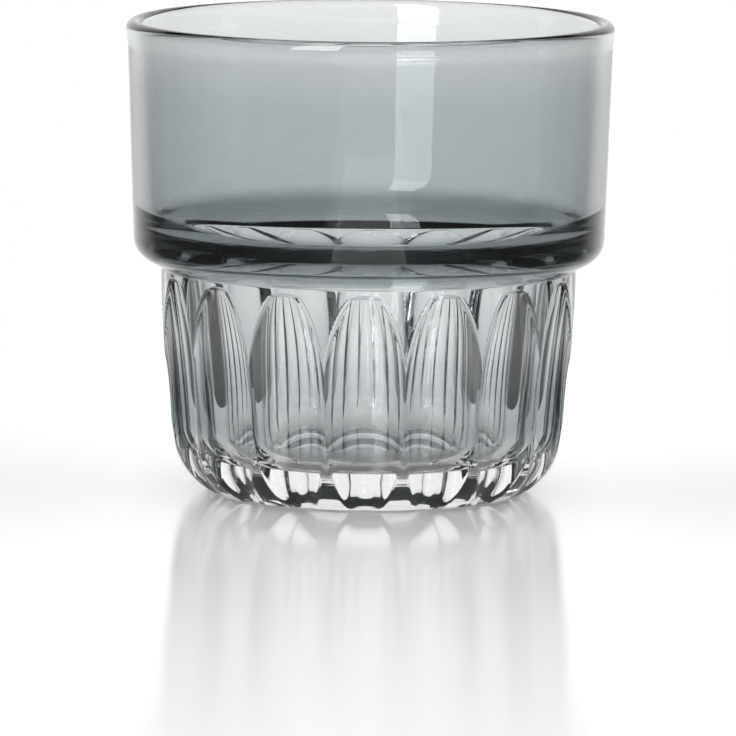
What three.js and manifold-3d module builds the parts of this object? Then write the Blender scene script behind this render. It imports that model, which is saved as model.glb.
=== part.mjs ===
// Faceted stacking tumbler, pressed in one piece of smoke-grey glass.
// Millimetres, +Z up. The origin is the centre of the foot, where the glass stands on the table.
import * as THREE from "three";
import { mergeVertices } from "three/addons/utils/BufferGeometryUtils.js";
import Module from "manifold-3d";

// Rim and bowl
const HEIGHT = 86;
const RIM_RADIUS = 44.5;
const RIM_THICKNESS = 3.0;
const BEAD_PROUD = 0.35;
const BEAD_HEIGHT = 4.8;
const BOWL_FLARE = 1.25;
const BOWL_WALL = 3.6;

// Stacking shoulder, the step that rests on the rim of the glass below
const SHOULDER_STEP = 4.95;
const SHOULDER_HEIGHT = 41;
const SHOULDER_SLOPE = 29;
const SHOULDER_ROUNDING = 4.6;
const NECK_ROUNDING = 0.4;

// Fluted lower part and foot
const BELLY_LEAN = 10.6;
const BELLY_HEIGHT = 21.6;
const BELLY_ROUNDING = 140;
const FOOT_INSET = 9.25;
const FOOT_LEAN = 30;
const FOOT_CORNER = 13;
const FOOT_RING_WIDTH = 5;
const PUNT_DEPTH = 1.5;

// Inside: the bowl, the sloping ledge and the narrower well below it
const LEDGE_HEIGHT = 8.6;
const LEDGE_SLOPE = 38;
const BOWL_ROUNDING = 7;
const NECK_WALL = 3.9;
const MOUTH_ROUNDING = 6.5;
const WELL_TAPER = 6;
const FLOOR_THICKNESS = 7;
const FLOOR_CORNER = 5;

// Flutes: hollow cuts that start narrow under the shoulder and run out through the foot's corner
const FLUTE_COUNT = 16;
const FLUTE_RADIUS = 12.6;
const FLUTE_WIDEST = 16;
const FLUTE_TIP_ABOVE = 0.2;
const FLUTE_NOSE = 1.9;
const FLUTE_DEPTH = 4.8;
const FLUTE_LEAN = 3.2;
const FLUTE_FOOT_HEIGHT = 8.2;
const FLUTE_FOOT_INSET = 4.6;
const FLUTE_RISE_LENGTH = 21;
const FLUTE_RISE_ROUNDING = 90;
const FLUTE_OVERRUN = 1;

// Smoothness of the faceted surfaces
const SEGMENTS_AROUND = 64;
const ARC_STEP = 20;
const FLUTE_SEGMENTS = 32;
const FLUTE_RINGS = 14;

const slope = (degrees) => Math.tan(THREE.MathUtils.degToRad(degrees));

// Radii that follow from the sizes above
const wallTopRadius = RIM_RADIUS - BEAD_PROUD;
const shoulderRadius = wallTopRadius - BOWL_FLARE;
const neckRadius = shoulderRadius - SHOULDER_STEP;
const footRadius = neckRadius - FOOT_INSET;
const wellMouthRadius = neckRadius - NECK_WALL;

// Replaces a sharp corner of a profile by an arc that touches both of its sides.
function roundedCorner(before, corner, after, radius) {
  const towardsBefore = before.clone().sub(corner);
  const towardsAfter = after.clone().sub(corner);
  const halfAngle = Math.abs(Math.acos(
    towardsBefore.dot(towardsAfter) / towardsBefore.length() / towardsAfter.length(),
  )) / 2;
  const tangent = radius / Math.tan(halfAngle);
  const start = corner.clone().add(towardsBefore.setLength(tangent));
  const end = corner.clone().add(towardsAfter.setLength(tangent));
  const middle = towardsBefore.clone().add(towardsAfter).setLength(radius / Math.sin(halfAngle));
  const centre = corner.clone().add(middle);
  const startAngle = start.clone().sub(centre).angle();
  let turn = end.clone().sub(centre).angle() - startAngle;
  turn -= 2 * Math.PI * Math.round(turn / (2 * Math.PI));
  const steps = Math.max(2, Math.ceil(Math.abs(THREE.MathUtils.radToDeg(turn)) / ARC_STEP));
  const points = [];
  for (let i = 0; i <= steps; i += 1) {
    const angle = startAngle + (turn * i) / steps;
    points.push(new THREE.Vector2(Math.cos(angle), Math.sin(angle)).multiplyScalar(radius).add(centre));
  }
  return points;
}

// Turns a list of corners, each a radius, a height and a rounding, into profile points.
function roundedProfile(corners) {
  const points = corners.map(([radius, height]) => new THREE.Vector2(radius, height));
  return corners.flatMap(([, , rounding], i) => (
    rounding ? roundedCorner(points[i - 1], points[i], points[i + 1], rounding) : [points[i]]
  ));
}

// The underside: a shallow dome inside a flat foot ring.
function puntProfile() {
  const ringRadius = footRadius - FOOT_RING_WIDTH;
  const steps = 3;
  const points = [];
  for (let i = 0; i <= steps; i += 1) {
    const share = i / steps;
    points.push(new THREE.Vector2(ringRadius * share, PUNT_DEPTH * (1 - share * share)));
  }
  return points;
}

// The outside from the foot's edge up to the wall below the rim's bead.
function outsideProfile() {
  const bellyBottom = neckRadius - BELLY_HEIGHT * slope(BELLY_LEAN);
  const cornerRadius = (bellyBottom - slope(BELLY_LEAN) * slope(FOOT_LEAN) * footRadius)
    / (1 - slope(BELLY_LEAN) * slope(FOOT_LEAN));
  const cornerHeight = (cornerRadius - footRadius) * slope(FOOT_LEAN);
  const shoulderCorner = SHOULDER_HEIGHT + SHOULDER_STEP * slope(SHOULDER_SLOPE);
  return roundedProfile([
    [footRadius, 0, 0],
    [cornerRadius, cornerHeight, FOOT_CORNER],
    [neckRadius, BELLY_HEIGHT, BELLY_ROUNDING],
    [neckRadius, SHOULDER_HEIGHT, NECK_ROUNDING],
    [shoulderRadius, shoulderCorner, SHOULDER_ROUNDING],
    [wallTopRadius, HEIGHT - BEAD_HEIGHT, 0],
  ]);
}

// The rim: a bead that swells out of the wall and is round on top.
function rimProfile() {
  const roundRadius = RIM_THICKNESS / 2;
  const swellHeight = BEAD_HEIGHT - roundRadius;
  const steps = 3;
  const points = [];
  for (let i = 1; i < steps; i += 1) {
    const share = i / steps;
    const swell = BEAD_PROUD * THREE.MathUtils.smoothstep(share, 0, 1);
    points.push(new THREE.Vector2(wallTopRadius + swell, HEIGHT - BEAD_HEIGHT + swellHeight * share));
  }
  const crest = new THREE.EllipseCurve(
    RIM_RADIUS - roundRadius, HEIGHT - roundRadius, roundRadius, roundRadius, 0, Math.PI,
  );
  return [...points, ...crest.getPoints(6)];
}

// The inside from below the rim down to the middle of the floor.
function insideProfile() {
  const rimInside = RIM_RADIUS - RIM_THICKNESS;
  const bowlRadius = shoulderRadius - BOWL_WALL;
  const mouthHeight = SHOULDER_HEIGHT + LEDGE_HEIGHT - (bowlRadius - wellMouthRadius) * slope(LEDGE_SLOPE);
  const wellFloorRadius = wellMouthRadius - (mouthHeight - FLOOR_THICKNESS) * slope(WELL_TAPER);
  return roundedProfile([
    [rimInside, HEIGHT - RIM_THICKNESS / 2, 0],
    [bowlRadius, SHOULDER_HEIGHT + LEDGE_HEIGHT, BOWL_ROUNDING],
    [wellMouthRadius, mouthHeight, MOUTH_ROUNDING],
    [wellFloorRadius, FLOOR_THICKNESS, FLOOR_CORNER],
    [0, FLOOR_THICKNESS, 0],
  ]).slice(1);
}

// A body turned about the Z axis from a profile of radii and heights.
function turned(profile, segments) {
  return new THREE.LatheGeometry(profile, segments).rotateX(Math.PI / 2);
}

// How far a flute's deepest line lies from the glass's axis, at a height. It is straight in the
// middle, bends outwards on a long arc towards the shoulder and inwards on a short one at the foot.
function fluteFloor(height) {
  const lean = (height - FLUTE_FOOT_HEIGHT) * slope(FLUTE_LEAN);
  const climbed = Math.max(0, height - SHOULDER_HEIGHT + FLUTE_RISE_LENGTH);
  const rise = FLUTE_RISE_ROUNDING - Math.sqrt(FLUTE_RISE_ROUNDING ** 2 - climbed ** 2);
  const footRounding = (FLUTE_FOOT_HEIGHT ** 2 + FLUTE_FOOT_INSET ** 2) / (2 * FLUTE_FOOT_INSET);
  const below = Math.max(0, FLUTE_FOOT_HEIGHT - Math.max(0, height));
  const runOut = footRounding - Math.sqrt(footRounding ** 2 - below ** 2);
  return neckRadius - FLUTE_DEPTH + lean + rise - runOut;
}

// A spindle with an ellipse for its outline, thickest near the foot and with its end under the
// shoulder, bent so that its inner side follows the flute's deepest line. The last part of the end
// is left straight, which makes the blunt head of the flute.
function fluteSpindle() {
  const top = SHOULDER_HEIGHT + FLUTE_TIP_ABOVE;
  const halfLength = top - FLUTE_WIDEST;
  const hollowRadius = (height) => (
    FLUTE_RADIUS * Math.sqrt(1 - ((height - FLUTE_WIDEST) / halfLength) ** 2)
  );
  const startAngle = Math.asin((-FLUTE_OVERRUN - FLUTE_WIDEST) / halfLength);
  const profile = [new THREE.Vector2(0, -FLUTE_OVERRUN)];
  for (let i = 0; i < FLUTE_RINGS; i += 1) {
    const angle = THREE.MathUtils.lerp(startAngle, Math.PI / 2, i / FLUTE_RINGS);
    const height = FLUTE_WIDEST + halfLength * Math.sin(angle);
    profile.push(new THREE.Vector2(hollowRadius(height), height));
  }
  profile.push(new THREE.Vector2(0, top));
  const geometry = turned(profile, FLUTE_SEGMENTS);
  const position = geometry.getAttribute("position");
  for (let i = 0; i < position.count; i += 1) {
    const height = Math.min(position.getZ(i), top - FLUTE_NOSE);
    position.setX(i, position.getX(i) + fluteFloor(height) + hollowRadius(height));
  }
  return geometry;
}

const wasm = await Module();
wasm.setup();

// A closed solid for cutting, from a geometry whose shared corners are merged.
function solid(geometry) {
  const bare = geometry.clone();
  bare.deleteAttribute("normal");
  bare.deleteAttribute("uv");
  const merged = mergeVertices(bare, 1e-4);
  return new wasm.Manifold(new wasm.Mesh({
    numProp: 3,
    vertProperties: new Float32Array(merged.getAttribute("position").array),
    triVerts: new Uint32Array(merged.getIndex().array),
  }));
}

// A three.js geometry from a finished solid.
function geometryOf(body) {
  const mesh = body.getMesh();
  const geometry = new THREE.BufferGeometry();
  geometry.setAttribute("position", new THREE.BufferAttribute(mesh.vertProperties, 3));
  geometry.setIndex(new THREE.BufferAttribute(mesh.triVerts, 1));
  geometry.computeVertexNormals();
  return geometry;
}

// The whole glass is turned in one piece, and the flutes are then cut round it.
function tumblerGeometry() {
  const profile = [...puntProfile(), ...outsideProfile(), ...rimProfile(), ...insideProfile()];
  let glass = solid(turned(profile, SEGMENTS_AROUND));
  const spindle = fluteSpindle();
  for (let i = 0; i < FLUTE_COUNT; i += 1) {
    const angle = (2 * Math.PI * i) / FLUTE_COUNT;
    glass = glass.subtract(solid(spindle.clone().rotateZ(angle)));
  }
  return geometryOf(glass);
}

const smokeGlass = new THREE.MeshStandardMaterial({
  name: "smoke_glass",
  color: 0xaab1b4,
  roughness: 0.05,
  metalness: 0,
  transparent: true,
  opacity: 0.5,
});

const tumbler = new THREE.Mesh(tumblerGeometry(), smokeGlass);
tumbler.name = "tumbler";

const model = new THREE.Group();
model.add(tumbler);

export default model;
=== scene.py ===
# %% [markdown]
# # A smoke-grey faceted tumbler
# The object is a stacking tumbler, pressed in one piece of glass, with a plain bowl above a step and
# sixteen hollow flutes below it. The solid model already gives its true size and place, so it is
# loaded first as a frame, and everything built here stays inside that frame's box.

# %% Load the frame
import math

import bmesh
import bpy
import numpy as np
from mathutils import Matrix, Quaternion, Vector


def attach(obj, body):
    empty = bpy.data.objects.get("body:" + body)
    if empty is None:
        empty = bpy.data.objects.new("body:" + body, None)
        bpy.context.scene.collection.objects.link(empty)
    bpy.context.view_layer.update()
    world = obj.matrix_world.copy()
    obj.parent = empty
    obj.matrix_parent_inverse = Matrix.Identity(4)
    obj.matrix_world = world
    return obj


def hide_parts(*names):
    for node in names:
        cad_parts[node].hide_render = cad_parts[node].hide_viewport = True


MM = 0.001

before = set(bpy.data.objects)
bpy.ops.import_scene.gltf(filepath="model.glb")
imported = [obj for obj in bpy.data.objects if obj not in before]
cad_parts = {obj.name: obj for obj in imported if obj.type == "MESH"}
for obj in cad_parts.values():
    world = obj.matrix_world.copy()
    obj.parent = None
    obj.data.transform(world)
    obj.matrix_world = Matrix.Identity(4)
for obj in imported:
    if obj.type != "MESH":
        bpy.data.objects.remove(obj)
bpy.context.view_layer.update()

# %% [markdown]
# ## Radii
# The glass in the picture shows every small change of slope as a bright or dark line, so the
# surface has to be far finer than the solid's facets. It is drawn again from the same sizes, in
# millimetres and degrees, standing on the plane z = 0 with its axis on the line x = y = 0. The
# outer radii come first, each worked out from the one above it, from the rim down to the foot.

# %% Radii from the rim down to the foot
RIM_RADIUS = 44.5
BEAD_PROUD = 0.35
BOWL_FLARE = 1.25
SHOULDER_STEP = 4.95
FOOT_INSET = 9.25

wall_top_radius = RIM_RADIUS - BEAD_PROUD
shoulder_radius = wall_top_radius - BOWL_FLARE
neck_radius = shoulder_radius - SHOULDER_STEP
foot_radius = neck_radius - FOOT_INSET
print("radii of foot, neck, shoulder and rim, mm:", foot_radius, neck_radius, shoulder_radius, RIM_RADIUS)

# %% [markdown]
# ## Rounded profiles
# Pressed glass has no sharp edge: hot glass draws every corner round. A profile is therefore written
# as a few corners, each with a radius from the axis, a height and a rounding, and one helper swaps
# each corner for an arc that touches both of its sides. A bevel modifier could round the mesh later,
# but it would not keep the exact heights that the flutes need.

# %% Corners to arcs
ARC_STEP = 3.5
FEWEST_ARC_STEPS = 4


def rounded_corner(before, corner, after, rounding):
    to_before = (before - corner) / np.linalg.norm(before - corner)
    to_after = (after - corner) / np.linalg.norm(after - corner)
    half_angle = math.acos(np.clip(to_before @ to_after, -1, 1)) / 2
    middle = (to_before + to_after) / np.linalg.norm(to_before + to_after)
    centre = corner + middle * rounding / math.sin(half_angle)
    start = corner + to_before * rounding / math.tan(half_angle) - centre
    end = corner + to_after * rounding / math.tan(half_angle) - centre
    start_angle = math.atan2(start[1], start[0])
    bend = (math.atan2(end[1], end[0]) - start_angle + math.pi) % (2 * math.pi) - math.pi
    steps = max(FEWEST_ARC_STEPS, math.ceil(abs(math.degrees(bend)) / ARC_STEP))
    angles = start_angle + bend * np.linspace(0, 1, steps + 1)
    return centre + rounding * np.stack([np.cos(angles), np.sin(angles)], axis=1)


def rounded_profile(corners):
    points = [np.array([radius, height], float) for radius, height, _ in corners]
    roundings = [rounding for _, _, rounding in corners]
    parts = []
    for i, rounding in enumerate(roundings):
        if rounding:
            parts.append(rounded_corner(points[i - 1], points[i], points[i + 1], rounding))
        else:
            parts.append(points[i][None, :])
    return np.concatenate(parts)


square_corner = rounded_profile([(1, 0, 0), (0, 0, 0.5), (0, 1, 0)])
print("points of a rounded square corner:", len(square_corner) - 2)

# %% [markdown]
# ## Outside, rim and inside
# The plunger of the press shapes the inside and the mould the outside, so the two are separate lines:
# outside a foot, a belly, a neck, a step and a wall; inside a floor, a narrow well, a sloping ledge and
# the bowl. The rim was melted round by a flame, which leaves a small bead that stands proud.

# %% Outside
HEIGHT = 86
BEAD_HEIGHT = 4.8
SHOULDER_HEIGHT = 41
SHOULDER_SLOPE = 29
SHOULDER_ROUNDING = 4.6
NECK_ROUNDING = 0.4
BELLY_LEAN = 10.6
BELLY_HEIGHT = 21.6
BELLY_ROUNDING = 140
FOOT_LEAN = 30
FOOT_CORNER = 13


def slope(degrees):
    return math.tan(math.radians(degrees))


belly_bottom = neck_radius - BELLY_HEIGHT * slope(BELLY_LEAN)
corner_radius = (belly_bottom - slope(BELLY_LEAN) * slope(FOOT_LEAN) * foot_radius) / (
    1 - slope(BELLY_LEAN) * slope(FOOT_LEAN)
)
outside = rounded_profile([
    (foot_radius, 0, 0),
    (corner_radius, (corner_radius - foot_radius) * slope(FOOT_LEAN), FOOT_CORNER),
    (neck_radius, BELLY_HEIGHT, BELLY_ROUNDING),
    (neck_radius, SHOULDER_HEIGHT, NECK_ROUNDING),
    (shoulder_radius, SHOULDER_HEIGHT + SHOULDER_STEP * slope(SHOULDER_SLOPE), SHOULDER_ROUNDING),
    (wall_top_radius, HEIGHT - BEAD_HEIGHT, 0),
])
print("profile points outside:", len(outside))

# %% Beaded rim
RIM_THICKNESS = 3.0
BEAD_POINTS = 12
CREST_POINTS = 26

rim_round = RIM_THICKNESS / 2
swell = np.linspace(0, 1, BEAD_POINTS)[1:-1]
bead = np.stack([
    wall_top_radius + BEAD_PROUD * swell**2 * (3 - 2 * swell),
    HEIGHT - BEAD_HEIGHT + (BEAD_HEIGHT - rim_round) * swell,
], axis=1)
crest_angles = np.linspace(0, math.pi, CREST_POINTS)
crest = np.stack([
    RIM_RADIUS - rim_round + rim_round * np.cos(crest_angles),
    HEIGHT - rim_round + rim_round * np.sin(crest_angles),
], axis=1)
print("profile points of the rim:", len(bead) + len(crest))

# %% Inside
BOWL_WALL = 3.6
BOWL_ROUNDING = 7
LEDGE_HEIGHT = 8.6
LEDGE_SLOPE = 38
NECK_WALL = 3.9
MOUTH_ROUNDING = 6.5
WELL_TAPER = 6
FLOOR_THICKNESS = 7
FLOOR_CORNER = 5

bowl_radius = shoulder_radius - BOWL_WALL
well_mouth_radius = neck_radius - NECK_WALL
mouth_height = SHOULDER_HEIGHT + LEDGE_HEIGHT - (bowl_radius - well_mouth_radius) * slope(LEDGE_SLOPE)
well_floor_radius = well_mouth_radius - (mouth_height - FLOOR_THICKNESS) * slope(WELL_TAPER)
inside = rounded_profile([
    (RIM_RADIUS - RIM_THICKNESS, HEIGHT - rim_round, 0),
    (bowl_radius, SHOULDER_HEIGHT + LEDGE_HEIGHT, BOWL_ROUNDING),
    (well_mouth_radius, mouth_height, MOUTH_ROUNDING),
    (well_floor_radius, FLOOR_THICKNESS, FLOOR_CORNER),
    (0, FLOOR_THICKNESS, 0),
])[1:-1]
print("profile points inside:", len(inside), "well's depth, mm:", round(mouth_height - FLOOR_THICKNESS, 1))

# %% [markdown]
# ## Flutes
# Each flute is the hollow that a long egg-shaped spindle would press into the wall: an arch with a
# blunt head under the shoulder, widest near the foot, and running out through the foot's corner.
# Cutting sixteen spindles with a boolean would leave slivers that sparkle in glass. The same hollow
# can be written as a formula instead: at each height the spindle is a circle, and the wall is
# whichever of the circle and the plain belly lies nearer to the axis. A very small blend between
# the two gives the soft ridges that pressed glass has.

# %% Flute formulas
FLUTE_RADIUS = 12.6
FLUTE_WIDEST = 16
FLUTE_TIP_ABOVE = 0.2
FLUTE_DEPTH = 4.8
FLUTE_LEAN = 3.2
FLUTE_FOOT_HEIGHT = 8.2
FLUTE_FOOT_INSET = 4.6
FLUTE_RISE_LENGTH = 21
FLUTE_RISE_ROUNDING = 90

flute_top = SHOULDER_HEIGHT + FLUTE_TIP_ABOVE
half_length = flute_top - FLUTE_WIDEST


def flute_floor(height):
    """Radius from the axis to the flute's deepest line."""
    lean = (height - FLUTE_FOOT_HEIGHT) * slope(FLUTE_LEAN)
    climbed = max(0, height - SHOULDER_HEIGHT + FLUTE_RISE_LENGTH)
    rise = FLUTE_RISE_ROUNDING - math.sqrt(FLUTE_RISE_ROUNDING**2 - climbed**2)
    foot_rounding = (FLUTE_FOOT_HEIGHT**2 + FLUTE_FOOT_INSET**2) / (2 * FLUTE_FOOT_INSET)
    below = max(0, FLUTE_FOOT_HEIGHT - height)
    run_out = foot_rounding - math.sqrt(foot_rounding**2 - below**2)
    return neck_radius - FLUTE_DEPTH + lean + rise - run_out


def hollow_radius(height):
    """Radius of the spindle, whose outline is an ellipse."""
    return FLUTE_RADIUS * math.sqrt(1 - ((height - FLUTE_WIDEST) / half_length) ** 2)


print("flute depth at mid height, mm:", round(neck_radius - flute_floor(SHOULDER_HEIGHT / 2), 2))

# %% The fluted wall at one height
FLUTE_COUNT = 16
FLUTE_NOSE = 1.9
COLUMNS_PER_FLUTE = 44
RIDGE_SOFTNESS = 0.1

spread = np.linspace(-1, 1, COLUMNS_PER_FLUTE, endpoint=False)
half_pitch = math.pi / FLUTE_COUNT
off_middle = np.tile(half_pitch * np.sin(spread * math.pi / 2), FLUTE_COUNT)
turn = np.repeat(2 * half_pitch * np.arange(FLUTE_COUNT), COLUMNS_PER_FLUTE) + off_middle


def fluted_radius(height):
    """Radius of the outside in every column, below the shoulder."""
    plain = np.interp(height, outside[:, 1], outside[:, 0])
    if height >= flute_top:
        return np.full_like(turn, plain)
    bent_height = min(height, flute_top - FLUTE_NOSE)
    centre = flute_floor(bent_height) + hollow_radius(bent_height)
    inside_root = hollow_radius(height) ** 2 - (centre * np.sin(off_middle)) ** 2
    hollow = centre * np.cos(off_middle) - np.sqrt(np.maximum(inside_root, 0))
    # a column that misses the spindle gets a hollow far outside, so the belly stays
    hollow = np.where(inside_root > 0, hollow, 2 * plain)
    blend = np.clip(0.5 + 0.5 * (plain - hollow) / RIDGE_SOFTNESS, 0, 1)
    return plain + (hollow - plain) * blend - RIDGE_SOFTNESS * blend * (1 - blend)


mid_wall = fluted_radius(SHOULDER_HEIGHT / 2)
print("radius in a flute and on a ridge, mm:", round(mid_wall.min(), 2), round(mid_wall.max(), 2))

# %% [markdown]
# ## One closed skin
# The glass is a single skin that runs from the middle of the floor up the inside, over the rim, down
# the outside and under the foot. A screw modifier could turn a profile about the axis, but its
# columns would all be alike, and the flutes need a radius of their own in each column. So the skin
# is built ring by ring, with the columns crowded towards the ridges and the rings towards the heads
# and the foot, where the surface turns fastest. One skin matters for glass: light must enter and
# leave it at real surfaces only.

# %% Rings of the inside, the rim and the plain outside
def round_ring(radius, height):
    return np.full_like(turn, radius), height


bare_outside = [(radius, height) for radius, height in outside[::-1] if height > flute_top]
rings = [round_ring(*point) for point in [*inside[::-1], *crest[::-1], *bead[::-1], *bare_outside]]
print("rings down to the flutes:", len(rings))

# %% Rings of the flutes
HEADS_DEPTH = 3
HEADS_RINGS = 34
BODY_RINGS = 96
FOOT_TOP = 8
FOOT_LOWEST = 0.3
FOOT_RINGS = 44
STANDING_EDGE = [0.15, 0.05, 0]

flute_heights = np.concatenate([
    np.linspace(flute_top, flute_top - HEADS_DEPTH, HEADS_RINGS),
    np.linspace(flute_top - HEADS_DEPTH, FOOT_TOP, BODY_RINGS)[1:],
    np.linspace(FOOT_TOP, FOOT_LOWEST, FOOT_RINGS)[1:],
    STANDING_EDGE,
])
rings += [(fluted_radius(height), height) for height in flute_heights]
print("rings of the flutes:", len(flute_heights))

# %% Rings of the foot and the punt
FOOT_RING_WIDTH = 5
FOOT_RING_SHARES = (0.7, 0.4, 0.15, 0)
PUNT_DEPTH = 1.5
PUNT_SHARES = np.linspace(0.97, 0.05, 10)

ring_edge = foot_radius - FOOT_RING_WIDTH
foot_outline = fluted_radius(0)
rings += [(ring_edge + (foot_outline - ring_edge) * share, 0) for share in FOOT_RING_SHARES]
rings += [round_ring(ring_edge * share, PUNT_DEPTH * (1 - share**2)) for share in PUNT_SHARES]
print("rings and columns in all:", len(rings), len(turn))

# %% Points of the skin
GLASS_TURN = math.radians(-0.85)

around = turn + GLASS_TURN
corners = np.concatenate([
    np.stack([radius * np.sin(around), -radius * np.cos(around), np.full_like(turn, height)], axis=1)
    for radius, height in rings
])
floor_middle = len(corners)
punt_middle = floor_middle + 1
corners = np.concatenate([corners, [[0, 0, FLOOR_THICKNESS], [0, 0, PUNT_DEPTH]]]) * MM
print("points:", len(corners))

# %% Faces of the skin
columns = len(turn)
here = np.arange(columns)
beside = (here + 1) % columns
last = (len(rings) - 1) * columns
faces = []
for start in range(0, last, columns):
    quads = np.stack([here, here + columns, beside + columns, beside], axis=1) + start
    faces += quads.tolist()
faces += np.stack([np.full(columns, floor_middle), here, beside], axis=1).tolist()
faces += np.stack([np.full(columns, punt_middle), last + beside, last + here], axis=1).tolist()
print("faces:", len(faces))

# %% Skin mesh
CM = 10 * MM

skin = bpy.data.meshes.new("tumbler_skin")
skin.from_pydata(corners.tolist(), [], faces)
shell = bmesh.new()
shell.from_mesh(skin)
bmesh.ops.recalc_face_normals(shell, faces=shell.faces)
print("glass volume, cm3:", round(shell.calc_volume() / CM**3, 1))
shell.to_mesh(skin)
shell.free()
skin.shade_smooth()
glass = bpy.data.objects.new("tumbler_glass", skin)
bpy.context.scene.collection.objects.link(glass)

# %% [markdown]
# ## Pressed soda-lime glass, smoke grey, fire-polished
# Soda-lime glass bends light with an index of 1.52, and fire polishing leaves it as smooth as a
# mirror, so the roughness is zero and the eye sees sharp bent images of the room. The smoke colour is
# in the glass: the longer the way through it, the darker it looks, which a volume absorption gives.
# One strength all over would be simpler, but the thick foot of the real tumbler sparkles white where
# sixty millimetres of smoke glass would be black, its neck and rim are paler than its bowl, and its
# thick shoulder is almost black. These come from the ways light takes through the glass and from what
# it meets there, not from a change in the glass, so a ramp over the height paints them into the
# strength: painted shade at the thick shoulder, painted light at the foot, the neck and the rim. The
# same ramp tints the surface light grey, with the same painted light, and other programs keep that
# tint where they cannot take the absorption.

# %% Colour of the smoke
SMOKE_ABSORPTION = 0.064
SMOKE_DEPTH = "#004E58"


def linear(hex_colour):
    """sRGB hex to the linear colour that Blender's sockets take."""
    channels = [int(hex_colour[i:i + 2], 16) / 255 for i in (1, 3, 5)]
    return (*[c / 12.92 if c <= 0.04045 else ((c + 0.055) / 1.055) ** 2.4 for c in channels], 1)


wall_light = [math.exp((c - 1) * SMOKE_ABSORPTION * BOWL_WALL) for c in linear(SMOKE_DEPTH)[:3]]
print("red, green and blue left after one bowl wall:", [round(share, 2) for share in wall_light])

# %% A helper for nodes, and the strength of the smoke over the height, with painted light and shade
# height in millimetres: share of the strength, painted light and shade included
# the shares of 1.0 are the smoke itself; the 2.4 at the thick shoulder is painted shade, and the lower
# shares at the foot, the neck and the rim are painted light
SMOKE_SHARES_WITH_PAINTED_LIGHT_AND_SHADE = {
    7: 0.04, 13: 1.0, 19: 1.0, 29: 0.45, 42.5: 0.45, 45: 2.4, 47: 2.4, 50: 1.0, 74: 1.0, 85: 0.5,
}


def add_node(tree, kind, inputs=None, **settings):
    """Adds a node with its settings, and gives each named input a value or a link."""
    made = tree.nodes.new(kind)
    for name, value in settings.items():
        setattr(made, name, value)
    for socket, value in (inputs or {}).items():
        if isinstance(value, bpy.types.NodeSocket):
            tree.links.new(value, made.inputs[socket])
        else:
            made.inputs[socket].default_value = value
    return made


pressed_glass = bpy.data.materials.new("smoke_grey_pressed_glass_fire_polished")
pressed_glass.use_nodes = True
tree = pressed_glass.node_tree
tree.nodes.clear()
place = add_node(tree, "ShaderNodeTexCoord")
axes = add_node(tree, "ShaderNodeSeparateXYZ", {"Vector": place.outputs["Object"]})
up = add_node(tree, "ShaderNodeMath", {0: axes.outputs["Z"], 1: HEIGHT * MM}, operation="DIVIDE")
strength = add_node(tree, "ShaderNodeValToRGB", {"Fac": up.outputs[0]})
stops = strength.color_ramp.elements
for height, share in SMOKE_SHARES_WITH_PAINTED_LIGHT_AND_SHADE.items():
    stops.new(height / HEIGHT).color = (share, share, share, 1)
# the two stops that every new ramp starts with
stops.remove(stops[-1])
stops.remove(stops[0])
print("stops of the smoke's strength:", len(stops))

# %% Glass surface and depth
GLASS_IOR = 1.52
CLEAR_FOR_PAINTED_LIGHT = "#FFFFFF"
SMOKE_TINT = "#E9ECED"

# the tint follows the smoke's ramp, so it is paler at the foot, the neck and the rim as painted light
tint = add_node(tree, "ShaderNodeValToRGB", {"Fac": strength.outputs["Color"]})
tint.color_ramp.elements[0].color = linear(CLEAR_FOR_PAINTED_LIGHT)
tint.color_ramp.elements[1].color = linear(SMOKE_TINT)
surface = add_node(tree, "ShaderNodeBsdfPrincipled", {
    "Base Color": tint.outputs["Color"], "Roughness": 0.0, "IOR": GLASS_IOR, "Transmission Weight": 1.0,
})
# the density carries the ramp's painted shade at the shoulder and painted light at the foot, the neck and
# the rim
density = add_node(tree, "ShaderNodeMath", {
    0: strength.outputs["Color"], 1: SMOKE_ABSORPTION / MM,
}, operation="MULTIPLY")
smoke = add_node(tree, "ShaderNodeVolumeAbsorption", {
    "Color": linear(SMOKE_DEPTH), "Density": density.outputs[0],
})
add_node(tree, "ShaderNodeOutputMaterial", {
    "Surface": surface.outputs["BSDF"], "Volume": smoke.outputs["Volume"],
})
skin.materials.append(pressed_glass)
print("glass material:", pressed_glass.name, "nodes:", len(tree.nodes))

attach(glass, "root")
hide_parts("tumbler")

# %% [markdown]
# ## White acrylic board, polished
# The glass stands on a polished white board, which gives the eye a soft mirror image under the foot.
# The image is strong beside the glass and fades away from it, so a polished face is mixed with a
# dull one by the distance from the glass, and again towards the board's long edges, which would
# show as hard lines from the side. The board is lit as any white thing is and keeps the glass's
# shadow; a little light of its own takes it up to the white of the background where the eye, or the
# glass, looks at it. It is hardly wider than the picture, because a wide white board would shine up
# into the shoulder and turn its black band grey.

# %% Board
TABLE_HALF_WIDTH = 0.075
TABLE_FRONT = 0.4
TABLE_BACK = 4
# a hair below the foot, so that the two faces don't coincide
TABLE_DROP = 0.0002

board = bpy.data.meshes.new("white_table")
board.from_pydata(
    [
        (-TABLE_HALF_WIDTH, -TABLE_FRONT, 0), (TABLE_HALF_WIDTH, -TABLE_FRONT, 0),
        (TABLE_HALF_WIDTH, TABLE_BACK, 0), (-TABLE_HALF_WIDTH, TABLE_BACK, 0),
    ],
    [], [(0, 1, 2, 3)],
)
table = bpy.data.objects.new("white_table", board)
bpy.context.scene.collection.objects.link(table)
table.location.z = -TABLE_DROP
print("board's width and length, m:", 2 * TABLE_HALF_WIDTH, TABLE_FRONT + TABLE_BACK)

# %% Where the board is polished
SHINE_NEAR = 0.1
SHINE_FAR = 0.45
EDGE_INNER = 0.045
EDGE_OUTER = 0.07

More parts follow.
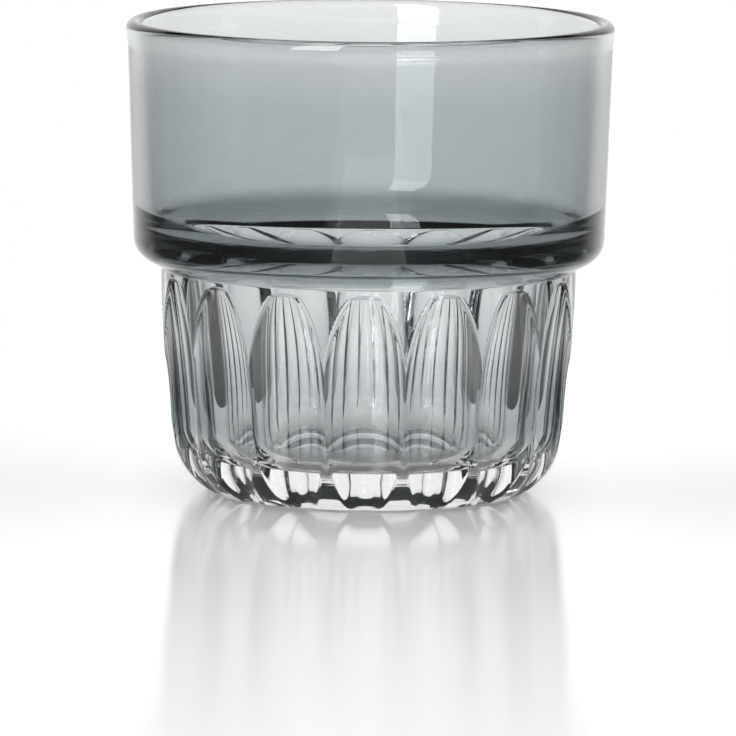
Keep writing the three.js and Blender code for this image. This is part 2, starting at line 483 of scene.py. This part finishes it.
gloss_white = bpy.data.materials.new("white_acrylic_board_polished")
gloss_white.use_nodes = True
tree = gloss_white.node_tree
tree.nodes.clear()
spot = add_node(tree, "ShaderNodeTexCoord")
away = add_node(tree, "ShaderNodeVectorMath", {0: spot.outputs["Object"]}, operation="LENGTH")
fading = add_node(tree, "ShaderNodeMapRange", {
    "Value": away.outputs["Value"], "From Min": SHINE_NEAR, "From Max": SHINE_FAR,
})
across = add_node(tree, "ShaderNodeSeparateXYZ", {"Vector": spot.outputs["Object"]})
aside = add_node(tree, "ShaderNodeMath", {0: across.outputs["X"]}, operation="ABSOLUTE")
dull_edge = add_node(tree, "ShaderNodeMapRange", {
    "Value": aside.outputs[0], "From Min": EDGE_INNER, "From Max": EDGE_OUTER,
})
dullness = add_node(tree, "ShaderNodeMath", {
    0: fading.outputs["Result"], 1: dull_edge.outputs["Result"],
}, operation="MAXIMUM")
print("full polish within, m:", SHINE_NEAR, "of the axis, and between the edges at", EDGE_INNER)

# %% Board finish
WHITE = (1, 1, 1, 1)
TABLE_WHITE = "#FAFAFA"
TABLE_GLOW = 0.07
POLISH_ROUGHNESS = 0.14
POLISH_SPECULAR = 0.9

ray = add_node(tree, "ShaderNodeLightPath")
looked_at = ray.outputs["Is Camera Ray"]
for kind in ("Is Glossy Ray", "Is Transmission Ray"):
    either = add_node(tree, "ShaderNodeMath", {0: looked_at, 1: ray.outputs[kind]}, operation="MAXIMUM")
    looked_at = either.outputs[0]
glow = add_node(tree, "ShaderNodeMath", {0: looked_at, 1: TABLE_GLOW}, operation="MULTIPLY")
white_face = {
    "Base Color": linear(TABLE_WHITE), "Emission Color": WHITE, "Emission Strength": glow.outputs[0],
}
polished = add_node(tree, "ShaderNodeBsdfPrincipled", white_face | {
    "Roughness": POLISH_ROUGHNESS, "Specular IOR Level": POLISH_SPECULAR,
})
dull = add_node(tree, "ShaderNodeBsdfPrincipled", white_face | {"Roughness": 1.0, "Specular IOR Level": 0.0})
face = add_node(tree, "ShaderNodeMixShader", {
    0: dullness.outputs[0], 1: polished.outputs["BSDF"], 2: dull.outputs["BSDF"],
})
add_node(tree, "ShaderNodeOutputMaterial", {"Surface": face.outputs[0]})
board.materials.append(gloss_white)
print("board material:", gloss_white.name, "nodes:", len(tree.nodes))

# %% [markdown]
# ## The room
# A glass shows the room more than itself. Behind the table a white sweep rises to about thirty
# degrees, full straight behind and fading to each side. Past the board the floor is dark grey, and
# the rest of the studio is black. That dark room draws the black lines in the glass: wherever a
# curve throws the eye's line upwards or sideways, the glass goes dark. What is not glass or gloss is
# lit by an even soft light instead, at which a colour shows as it is written, and the background
# that the eye sees is plain white.

# %% Brightness of the studio
SWEEP_TOP = 31
SWEEP_EDGE = 1.5
SWEEP_HALF_ANGLE = 19
SWEEP_SIDE_EDGE = 41
SWEEP_WHITE = 1.06
FLOOR_SHADE = 0.15
HORIZON_HAZE = 0.03
DARK_ROOM = 0.003

room = bpy.data.worlds.new("studio")
bpy.context.scene.world = room
room.use_nodes = True
tree = room.node_tree
tree.nodes.clear()
direction = add_node(tree, "ShaderNodeTexCoord")
axes = add_node(tree, "ShaderNodeSeparateXYZ", {"Vector": direction.outputs["Generated"]})
below_top = add_node(tree, "ShaderNodeMapRange", {
    "Value": axes.outputs["Z"],
    "From Min": math.sin(math.radians(SWEEP_TOP)),
    "From Max": math.sin(math.radians(SWEEP_TOP + SWEEP_EDGE)),
    "To Min": 1, "To Max": 0,
}, interpolation_type="SMOOTHSTEP")
behind = add_node(tree, "ShaderNodeMapRange", {
    "Value": axes.outputs["Y"],
    "From Min": math.cos(math.radians(SWEEP_HALF_ANGLE + SWEEP_SIDE_EDGE)),
    "From Max": math.cos(math.radians(SWEEP_HALF_ANGLE)),
}, interpolation_type="SMOOTHSTEP")
sweep = add_node(tree, "ShaderNodeMath", {
    0: below_top.outputs[0], 1: behind.outputs[0],
}, operation="MULTIPLY")
far_floor = add_node(tree, "ShaderNodeMapRange", {
    "Value": axes.outputs["Z"], "From Min": -HORIZON_HAZE, "From Max": 0,
    "To Min": FLOOR_SHADE, "To Max": 0,
}, interpolation_type="SMOOTHSTEP")
around_glass = add_node(tree, "ShaderNodeMath", {
    0: sweep.outputs[0], 1: far_floor.outputs[0],
}, operation="MAXIMUM")
shade = add_node(tree, "ShaderNodeMapRange", {
    "Value": around_glass.outputs[0], "To Min": DARK_ROOM, "To Max": SWEEP_WHITE,
})
print("white sweep, degrees high:", SWEEP_TOP, "fading to each side from", SWEEP_HALF_ANGLE,
      "to", SWEEP_HALF_ANGLE + SWEEP_SIDE_EDGE)

# %% What each kind of ray meets
AMBIENT = 1.05
BACKDROP = 1.0

ray = add_node(tree, "ShaderNodeLightPath")
in_glass = add_node(tree, "ShaderNodeMath", {
    0: ray.outputs["Is Glossy Ray"], 1: ray.outputs["Is Transmission Ray"],
}, operation="MAXIMUM")
soft_light = add_node(tree, "ShaderNodeBackground", {"Color": WHITE, "Strength": AMBIENT})
studio = add_node(tree, "ShaderNodeBackground", {"Color": WHITE, "Strength": shade.outputs[0]})
backdrop = add_node(tree, "ShaderNodeBackground", {"Color": WHITE, "Strength": BACKDROP})
light = add_node(tree, "ShaderNodeMixShader", {
    0: in_glass.outputs[0], 1: soft_light.outputs[0], 2: studio.outputs[0],
})
view = add_node(tree, "ShaderNodeMixShader", {
    0: ray.outputs["Is Camera Ray"], 1: light.outputs[0], 2: backdrop.outputs[0],
})
add_node(tree, "ShaderNodeOutputWorld", {"Surface": view.outputs[0]})
print("soft light and backdrop:", AMBIENT, BACKDROP)

# %% [markdown]
# ## Softbox
# One tall softbox stands close by at the front left. Its reflection is the pale upright bar on the
# far wall of the bowl and the fainter band on the near wall. It lights only glass and gloss, so the
# white board stays evenly lit.

# %% Softbox
SOFTBOX_BEARING = 25
SOFTBOX_DISTANCE = 0.5
SOFTBOX_WIDTH = 0.19
SOFTBOX_HEIGHT = 0.8
SOFTBOX_BOTTOM = 0.05
SOFTBOX_RADIANCE = 7

bearing = math.radians(SOFTBOX_BEARING)
lamp = bpy.data.lights.new("softbox", "AREA")
lamp.shape = "RECTANGLE"
lamp.size = SOFTBOX_WIDTH
lamp.size_y = SOFTBOX_HEIGHT
lamp.energy = SOFTBOX_RADIANCE * math.pi * SOFTBOX_WIDTH * SOFTBOX_HEIGHT
softbox = bpy.data.objects.new("softbox", lamp)
bpy.context.scene.collection.objects.link(softbox)
softbox.location = (
    -SOFTBOX_DISTANCE * math.sin(bearing),
    -SOFTBOX_DISTANCE * math.cos(bearing),
    SOFTBOX_BOTTOM + SOFTBOX_HEIGHT / 2,
)
towards_glass = Vector((-softbox.location.x, -softbox.location.y, 0))
softbox.rotation_mode = "QUATERNION"
softbox.rotation_quaternion = towards_glass.to_track_quat("-Z", "Y")
softbox.visible_camera = False
softbox.visible_diffuse = False
print("softbox, W:", round(lamp.energy, 2))

# %% [markdown]
# ## Camera
# The photograph looks slightly down on the rim from about a metre and a half, with a long lens. The
# lens length follows from how many pixels a millimetre of the glass takes in the 736 pixel frame.

# %% Camera
CAMERA_DISTANCE = 1.6
CAMERA_HEIGHT = 0.23
AIM_HEIGHT = 0.0222
CAMERA_ROLL = 0.45
SENSOR_WIDTH = 36
PIXELS_PER_MM = 5.472
FRAME_PIXELS = 736

eye = bpy.data.cameras.new("camera")
camera = bpy.data.objects.new("camera", eye)
bpy.context.scene.collection.objects.link(camera)
camera.location = (0, -CAMERA_DISTANCE, CAMERA_HEIGHT)
sight = Vector((0, 0, AIM_HEIGHT)) - camera.location
roll = Quaternion((0, 0, 1), math.radians(CAMERA_ROLL))
camera.rotation_mode = "QUATERNION"
camera.rotation_quaternion = sight.to_track_quat("-Z", "Y") @ roll
eye.sensor_width = SENSOR_WIDTH
eye.lens = SENSOR_WIDTH * PIXELS_PER_MM * sight.length / MM / FRAME_PIXELS
bpy.context.scene.camera = camera
print("lens, mm:", round(eye.lens, 1))

# %% [markdown]
# ## Picture
# Light crosses this glass many times before it leaves, so the limit on bounces is raised; with the
# usual limit the thick parts would go black for the wrong reason.

# %% View and bounces
GLASS_BOUNCES = 40
GLOSS_BOUNCES = 24

scene = bpy.context.scene
scene.view_settings.view_transform = "Standard"
scene.cycles.max_bounces = GLASS_BOUNCES
scene.cycles.transmission_bounces = GLASS_BOUNCES
scene.cycles.glossy_bounces = GLOSS_BOUNCES
